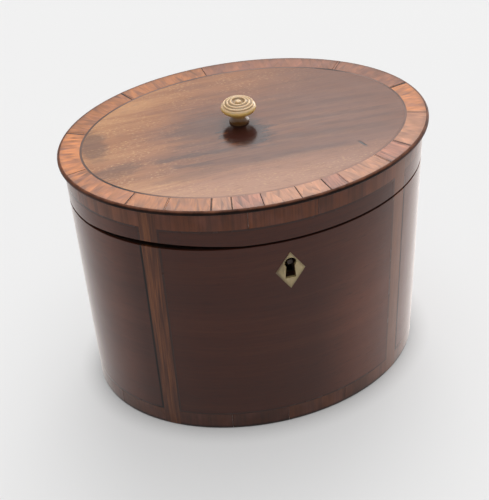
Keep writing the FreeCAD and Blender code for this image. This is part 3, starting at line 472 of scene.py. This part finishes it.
def side_crossband_wood():
    """Darker striped banding of the sides, grain upright, with painted shade along its foot."""
    shader = Shader("crossband_wood_side", **WAXED)
    oval = side_oval(shader)
    piece, lid = shader.island(), on_lid(shader)
    _, fine, pores = fibres(shader, shader.z, oval.around, piece * FIBRE_SHIFT)
    tone = shader.mix(piece, DEEP_BAND, PALE_BAND)
    tone = shader.mix(lid * 0.6, tone, LID_BAND)
    end, left = oval.stretch(*PALE_END), oval.stretch(*PALE_LEFT) * lid
    tone = shader.mix(shader.largest([end * 0.75, left * 0.5]), tone, END_BAND)
    colour = striped(shader, tone, 0.8, shader.z, oval.around, piece * STRIPE_SHIFT)
    # Painted shade along the foot, next to the floor
    foot = shader.smooth(shader.z, FOOT_SHADE_ENDS, FOOT_SHADE_FULL)
    colour = shader.mix(foot * 0.85, colour, FOOT_SHADE)
    return shader.finish(Base_Color=colour, Normal=polish(shader, fine, pores))


UPRIGHT_TONES = (
    (0.25, (0.028, 0.008, 0.004)), (0.55, (0.085, 0.023, 0.008)), (0.85, (0.235, 0.075, 0.020)),
)
# The paler upright at the right: plan angle, half the length, length of the fade
UPRIGHT_END, UPRIGHT_PALE = (340, 30.0, 8.0), (0.26, 0.092, 0.042)


def upright_wood():
    """Straight-grained orange-brown uprights."""
    shader = Shader("upright_wood_polished", **WAXED)
    oval = side_oval(shader)
    streaks, fine, pores = fibres(shader, shader.z, oval.around, seed=0.77)
    colour = shader.ramp(streaks * 0.8 + fine * 0.9 - 0.30, *UPRIGHT_TONES)
    colour = shader.mix(oval.stretch(*UPRIGHT_END) * 0.6, colour, UPRIGHT_PALE)
    return shader.finish(Base_Color=colour, Normal=polish(shader, fine, pores))


# Wear of the stringing round each oval: plan angle, 0 where it is dark and open, 1 where it has faded
TOP_WEAR = (
    (10, 0.3), (30, 0.8), (45, 0.0), (60, 0.6), (78, 0.8), (98, 0.4), (118, 0.8), (140, 0.3), (160, 0.5),
    (185, 0.5), (200, 0.25), (212, 0.0), (228, 0.5), (240, 0.9), (300, 0.9), (315, 0.6), (340, 0.6),
)
SIDE_WEAR = (
    (40, 0.9), (100, 0.9), (180, 0.8), (219, 0.8), (222, 0.0), (225, 0.0), (229, 0.75), (300, 0.9),
    (311, 0.9), (314, 0.5), (318, 0.1), (322, 0.9),
)
# Least wear of the line on the lid's side and on its top
LID_SIDE_WEAR, LID_TOP_WEAR = 0.85, 0.0
# Colour of the faded line round each oval
TOP_FADED = (
    (90, (0.20, 0.075, 0.035)), (190, (0.15, 0.055, 0.024)), (270, (0.30, 0.130, 0.072)),
    (340, (0.22, 0.088, 0.050)),
)
SIDE_FADED = (
    (60, (0.042, 0.010, 0.004)), (296, (0.042, 0.010, 0.004)), (316, (0.12, 0.036, 0.016)),
    (345, (0.15, 0.045, 0.020)),
)


def stringing_wood(name, make_oval, wear, faded, finish, lid_wear):
    """Thin dark inlaid line, faded towards its neighbours in places and open in others."""
    shader = Shader(name, **finish)
    oval = make_oval(shader)
    worn = oval.ramp([(angle, grey(level)) for angle, level in wear])
    worn = shader.math("MAXIMUM", worn, on_lid(shader) * lid_wear)
    patchy = shader.noise(shader.place, (9.0, 9.0, 9.0), detail=1.5)
    worn = worn * (patchy * 0.6 + 0.70)
    colour = shader.mix(worn, OPEN_DARK, oval.ramp(faded))
    return shader.finish(Base_Color=colour, Roughness=0.70 - worn * 0.5,
                         Normal=shader.bump(patchy, LINE_RELIEF))


# The lid's edge has no polish left; the tones of its face and of its lip, and the heights where they meet
DULL = {"Roughness": 0.4, "IOR": 1.4, "Specular_IOR_Level": 0.12}
FACE_TONES = (0.35, (0.007, 0.003, 0.002)), (0.7, (0.024, 0.008, 0.005))
LIP_TONES = (0.3, (0.06, 0.023, 0.014)), (0.7, (0.19, 0.072, 0.038))
LIP_EDGE = (LID_TOP - 0.45, LID_TOP + 0.05)
# Painted reflection on its face at both ends: plan angle, half the length, length of the fade; and the
# colour of that reflection
REFLECTION_ENDS, REFLECTION_FACE = ((340, 22.0, 26.0), (180, 20.0, 22.0)), (0.13, 0.060, 0.045)


def moulding_wood():
    """Edge of the lid: its lip worn like the banding beside it, its face near black, with painted
    reflection lightening it at the ends.
    """
    shader = Shader("moulding_wood", **DULL)
    oval = top_oval(shader)
    worn = shader.noise(shader.place, (4.5, 4.5, 4.5), detail=4.0, roughness=0.6)
    top = shader.smooth(shader.z + worn * 0.3, *LIP_EDGE)
    face, lip = shader.ramp(worn, *FACE_TONES), shader.ramp(worn, *LIP_TONES)
    end = shader.largest([oval.stretch(*stretch) for stretch in REFLECTION_ENDS])
    # Painted reflection lightens the face at both ends
    face = shader.mix(end * 0.6, face, REFLECTION_FACE)
    return shader.finish(Base_Color=shader.mix(top, face, lip),
                         Normal=shader.bump(worn, EDGE_RELIEF))


# Plain wood, bone and metal

# Plain woods: dark and light of the grain, least roughness
CARCASE_WOOD = (0.09, 0.036, 0.018), (0.26, 0.12, 0.06), 0.45
INNER_LID_WOOD = (0.10, 0.034, 0.015), (0.27, 0.11, 0.045), 0.32
PLAIN_PORES, MEETING_SHADE = (0.03, 0.012, 0.008), (0.010, 0.005, 0.003)
# Painted shade in the gap where lid and box meet: half its height, height of its fade, and depths where
# it ends and is full
MEETING_HALF, MEETING_SOFT, MEETING_DEPTH = 1.2, 2.0, (5.0, 2.5)


def plain_wood(name, dark, light, rough):
    """Plain mahogany of the carcase and the inner lid, waxed, with painted shade where lid and box meet.
    """
    shader = Shader(name, IOR=1.5)
    streaks, fine, pores = fibres(shader, shader.x, shader.y + shader.z * 0.7, seed=0.53)
    colour = shader.ramp(streaks * 0.7 + fine * 0.4, (0.2, dark), (0.85, light))
    colour = shader.mix(pores * 0.6, colour, PLAIN_PORES)
    meeting = shader.near(shader.z, (RIM + LID_LOW) / 2, MEETING_HALF, MEETING_SOFT)
    depth = side_oval(shader).inset + (streaks - 0.5) * 3.0
    meeting = meeting * shader.smooth(depth, *MEETING_DEPTH)
    # Painted shade in the gap where lid and box meet
    colour = shader.mix(meeting * 0.95, colour, MEETING_SHADE)
    # Painted shade inside the keyhole
    colour = shader.mix(keyhole(shader), colour, KEYHOLE_SHADE)
    return shader.finish(Base_Color=colour, Roughness=fine * 0.2 + rough,
                         Normal=polish(shader, fine, pores))


BONE = {"IOR": 1.54, "Roughness": 0.3, "Subsurface_Weight": 0.12, "Subsurface_Scale": 0.6 * MM,
        "Subsurface_Radius": (1.0, 0.6, 0.3)}
PALE_BONE, GROOVE_BONE = (0.68, 0.47, 0.26), (0.25, 0.145, 0.052)
# Pitch of the turned rings and radius of the innermost, on each knob
LID_KNOB_RINGS, INNER_KNOB_RINGS = (1.40, 3.115), (0.975, 2.30)
# Colours of a knob from its foot to its rim: share of the height, colour. Its dark bottom edge is painted
# shade, its pale foot painted light, and its dark neck a stain with painted shade under the head
KNOB_TONES_LIGHT_AND_SHADE = (
    (0.05, (0.30, 0.19, 0.10)), (0.10, (0.90, 0.76, 0.55)), (0.24, (0.86, 0.68, 0.44)),
    (0.33, (0.18, 0.080, 0.025)), (0.50, (0.22, 0.105, 0.028)), (0.60, (0.66, 0.37, 0.065)),
    (0.74, (0.85, 0.57, 0.175)),
)
PLATE_TONES = (
    (0.1, (0.14, 0.085, 0.030)), (0.4, (0.33, 0.245, 0.110)), (0.75, (0.52, 0.40, 0.215)),
)


def knob_bone(node, ring_step, first_ring):
    """Turned knob of aged bone: pale rings, golden grooves, a brown neck stained and darkened with
    painted shade under the head, and a foot paled with painted light.
    """
    shader = Shader(node + "_bone", **BONE)
    low, high = span(node)
    middle = (low + high) / 2
    radius = shader.length(shader.x - middle.x, shader.y - middle.y)
    stain = shader.noise(shader.place, (2.0, 2.0, 4.0), detail=4.0, roughness=0.6)
    wave = shader.math("COSINE", (radius - first_ring) * (math.tau / ring_step)) * 0.5 + 0.5
    wave = wave * shader.smooth(radius, first_ring - ring_step * 0.5, first_ring - ring_step * 0.3)
    button = shader.smooth(radius, first_ring - ring_step * 1.1, first_ring - ring_step * 1.3)
    rim = shader.smooth(radius, first_ring + ring_step * 1.9, first_ring + ring_step * 2.0)
    crest = shader.largest([wave, button, rim]) + (stain - 0.5) * 0.5
    top = shader.ramp(crest, (0.2, GROOVE_BONE), (0.7, PALE_BONE))
    rise = (shader.z - low.z) / (high.z - low.z) + (stain - 0.5) * 0.08
    # Painted shade at the bottom edge and under the head, painted light on the foot
    turned = shader.ramp(rise, *KNOB_TONES_LIGHT_AND_SHADE)
    colour = shader.mix(shader.smooth(rise, 0.83, 0.87), turned, top)
    return shader.finish(Base_Color=colour, Normal=shader.bump(stain, BONE_RELIEF))


def plate_bone():
    """Aged bone of the escutcheon, browned at its edge and darker towards the left."""
    shader = Shader("escutcheon_bone", **BONE)
    low, high = span("escutcheon")
    middle = (low + high) / 2
    stain = shader.noise(shader.place, (3.0, 3.0, 5.0), detail=5.0, roughness=0.65)
    grain = shader.noise(shader.place, (0.35, 1.0, 6.0), detail=2.0)
    aside = shader.math("ABSOLUTE", shader.x - middle.x) / (high.x - low.x)
    above = shader.math("ABSOLUTE", shader.z - middle.z) / (high.z - low.z)
    edge = shader.smooth((aside + above) * 2.0 + (stain - 0.5) * 0.3, 0.72, 1.05)
    left_darkening = shader.smooth(shader.x, middle.x, low.x) * 0.25
    colour = shader.ramp(stain * 0.8 + grain * 0.3 - edge * 0.35 - left_darkening, *PLATE_TONES)
    return shader.finish(Base_Color=colour, Normal=shader.bump(stain, BONE_RELIEF))


# Metals: tarnished colour, bright colour, least roughness
BRASS = (0.28, 0.17, 0.06), (0.66, 0.47, 0.20), 0.26
IRON = (0.06, 0.05, 0.045), (0.30, 0.28, 0.26), 0.36
DARK_IRON = (0.010, 0.007, 0.006), (0.075, 0.060, 0.055), 0.34


def metal(name, dark, bright, rough):
    """Old metal with a tarnished, brushed face."""
    shader = Shader(name, Metallic=1.0)
    tarnish = shader.noise(shader.place, (2.4, 2.4, 2.4), detail=5.0, roughness=0.65)
    brushed = shader.noise(shader.place, (3.3, 0.11, 0.11), detail=1.0)
    colour = shader.ramp(tarnish * 0.8 + brushed * 0.2, (0.3, dark), (0.7, bright))
    return shader.finish(Base_Color=colour, Roughness=tarnish * 0.25 + rough,
                         Normal=shader.bump(brushed * 0.5 + tarnish, METAL_RELIEF))


def foil():
    """Dull grey metal foil, wrinkled where it was pressed into the compartment."""
    shader = Shader("foil_wrinkled", Metallic=1.0)
    wrinkles = shader.noise(shader.place, (11.0, 11.0, 17.0), detail=6.0, roughness=0.6, distortion=1.2)
    colour = shader.ramp(wrinkles, (0.3, grey(0.20)), (0.75, grey(0.46)))
    return shader.finish(Base_Color=colour, Roughness=wrinkles * 0.3 + 0.35,
                         Normal=shader.bump(wrinkles, FOIL_RELIEF))


def dress():
    """Give every node its finish."""
    by_slot = {
        "mahogany_veneer": side_panel_wood(),
        "crossbanding": side_crossband_wood(),
        "upright_wood": upright_wood(),
        "stringing": stringing_wood("stringing_wood_side", side_oval, SIDE_WEAR, SIDE_FADED, WAXED,
                                    LID_SIDE_WEAR),
        "edge_moulding": moulding_wood(),
        "carcase_wood": plain_wood("carcase_wood_waxed", *CARCASE_WOOD),
        "inner_lid_wood": plain_wood("inner_lid_wood_waxed", *INNER_LID_WOOD),
        "brass": metal("brass_aged", *BRASS),
        "steel": metal("iron_dull", *IRON),
        "foil": foil(),
    }
    own = {
        "lid_top_panel": top_panel_wood(),
        "lid_top_crossbanding": top_crossband_wood(),
        "lid_top_stringing": stringing_wood("stringing_wood_top", top_oval, TOP_WEAR, TOP_FADED, POLISHED,
                                            LID_TOP_WEAR),
        "lid_knob": knob_bone("lid_knob", *LID_KNOB_RINGS),
        "inner_lid_knob": knob_bone("inner_lid_knob", *INNER_KNOB_RINGS),
        "escutcheon": plate_bone(),
        "lock_key_pin": metal("iron_dark", *DARK_IRON),
    }
    slots = {part["node"]: part["material_slot"] for part in frame["record"]["subparts"]}
    for name, node in nodes.items():
        node.data.materials.clear()
        node.data.materials.append(own.get(name) or by_slot[slots[name]])


# Studio

PHOTO_LONG_SIDE = 500
PHOTO_CENTRE = (244.5, 250.0)
LENS_CENTRE = (241.5, 247.6)
FOCAL_LENGTH = 1011.8
SENSOR = 36.0
CAMERA_AZIMUTH, CAMERA_ELEVATION, CAMERA_ROLL = (math.radians(angle) for angle in (-14.11, 37.75, -3.81))
CAMERA_TARGET = Vector((-3.91, 3.48, 51.94)) * MM
CAMERA_DISTANCE = 451.9 * MM
CLIP_NEAR, CLIP_FAR = 0.01, 50.0


def make_camera():
    """Camera at the photograph's place: focal length and centres are in the photograph's pixels."""
    back = Vector((math.sin(CAMERA_AZIMUTH) * math.cos(CAMERA_ELEVATION),
                   -math.cos(CAMERA_AZIMUTH) * math.cos(CAMERA_ELEVATION), math.sin(CAMERA_ELEVATION)))
    level = Vector((math.cos(CAMERA_AZIMUTH), math.sin(CAMERA_AZIMUTH), 0.0))
    rise = back.cross(level)
    right = level * math.cos(CAMERA_ROLL) + rise * math.sin(CAMERA_ROLL)
    up = rise * math.cos(CAMERA_ROLL) - level * math.sin(CAMERA_ROLL)
    data = bpy.data.cameras.new("camera")
    data.sensor_width = SENSOR
    data.lens = SENSOR * FOCAL_LENGTH / PHOTO_LONG_SIDE
    data.shift_x = (PHOTO_CENTRE[0] - LENS_CENTRE[0]) / PHOTO_LONG_SIDE
    data.shift_y = (LENS_CENTRE[1] - PHOTO_CENTRE[1]) / PHOTO_LONG_SIDE
    data.clip_start, data.clip_end = CLIP_NEAR, CLIP_FAR
    camera = bpy.data.objects.new("camera", data)
    turn = Matrix((right, up, back)).transposed()
    camera.matrix_world = Matrix.Translation(CAMERA_TARGET + back * CAMERA_DISTANCE) @ turn.to_4x4()
    bpy.context.scene.collection.objects.link(camera)
    bpy.context.scene.camera = camera


BACKDROP = 0.86
WHITE = (1.0, 1.0, 1.0, 1.0)
FLOOR_RADIUS = 4.0
FLOOR_SIDES = 96
FLOOR_COLOUR = 0.735
# Share of the floor that shows as plain backdrop, which keeps the shadow on it light, and how near to
# the object that share fades
FLOOR_LIFT = 0.40
CONTACT = 10.0 * MM


def seen_rays(graph):
    """Two terms: 1 for what the camera sees, and 1 for what it sees in a mirror or through glass."""
    path = graph.add("ShaderNodeLightPath")
    camera, glossy, through = (Term(graph, path.outputs[name]) for name in
                               ("Is Camera Ray", "Is Glossy Ray", "Is Transmission Ray"))
    return camera, graph.math("MAXIMUM", glossy, through)


def make_floor():
    """Plain pale floor."""
    turns = [math.tau * side / FLOOR_SIDES for side in range(FLOOR_SIDES)]
    ring = [(FLOOR_RADIUS * math.cos(turn), FLOOR_RADIUS * math.sin(turn), 0.0) for turn in turns]
    mesh = bpy.data.meshes.new("floor")
    mesh.from_pydata(ring, [], [list(range(FLOOR_SIDES))])
    shader = Shader("floor_paper", Roughness=0.9, Specular_IOR_Level=0.1, Emission_Color=WHITE)
    seen = shader.math("MAXIMUM", *seen_rays(shader))
    paper = FLOOR_COLOUR - seen * (FLOOR_COLOUR * FLOOR_LIFT)
    open_sky = Term(shader, shader.add("ShaderNodeAmbientOcclusion", {"Distance": CONTACT}).outputs["AO"])
    shader.finish(Base_Color=shader.join(paper, paper, paper),
                  Emission_Strength=seen * open_sky * (BACKDROP * FLOOR_LIFT))
    mesh.materials.append(shader.material)
    floor = bpy.data.objects.new("floor", mesh)
    bpy.context.scene.collection.objects.link(floor)


AMBIENT = 0.28
# Soft light boxes: direction towards each, strength, and the cosines where it fades out and is full
SOFT_BOXES = (
    (Vector((0.10, 0.10, 1.00)).normalized(), 2.7, 0.76, 0.999),
    (Vector((0.32, 0.95, 1.11)).normalized(), 3.3, 0.906, 0.990),
    (Vector((0.75, 0.65, 0.10)).normalized(), 3.8, 0.890, 0.970),
)


def make_world():
    """Plain walls with soft boxes above, behind and low at the back right, and a pale backdrop.

    The backdrop is what the camera and mirrors see; the boxes light everything else.
    """
    world = bpy.data.worlds.new("studio")
    world.use_nodes = True
    bpy.context.scene.world = world
    graph = Graph(world.node_tree)
    towards = Term(graph, graph.add("ShaderNodeTexCoord").outputs["Generated"])
    light = AMBIENT
    for direction, strength, fade_out, full in SOFT_BOXES:
        facing = graph.vector("DOT_PRODUCT", towards, direction)
        light = graph.smooth(facing, fade_out, full) * strength + light
    camera, mirrored = seen_rays(graph)
    light = graph.math("MAXIMUM", light, mirrored * BACKDROP)
    background = world.node_tree.nodes["Background"]
    background.inputs["Color"].default_value = WHITE
    graph.feed(background.inputs["Strength"], light + camera * (BACKDROP - light))


bpy.context.scene.view_settings.view_transform = "Standard"
dress()
make_camera()
make_floor()
make_world()
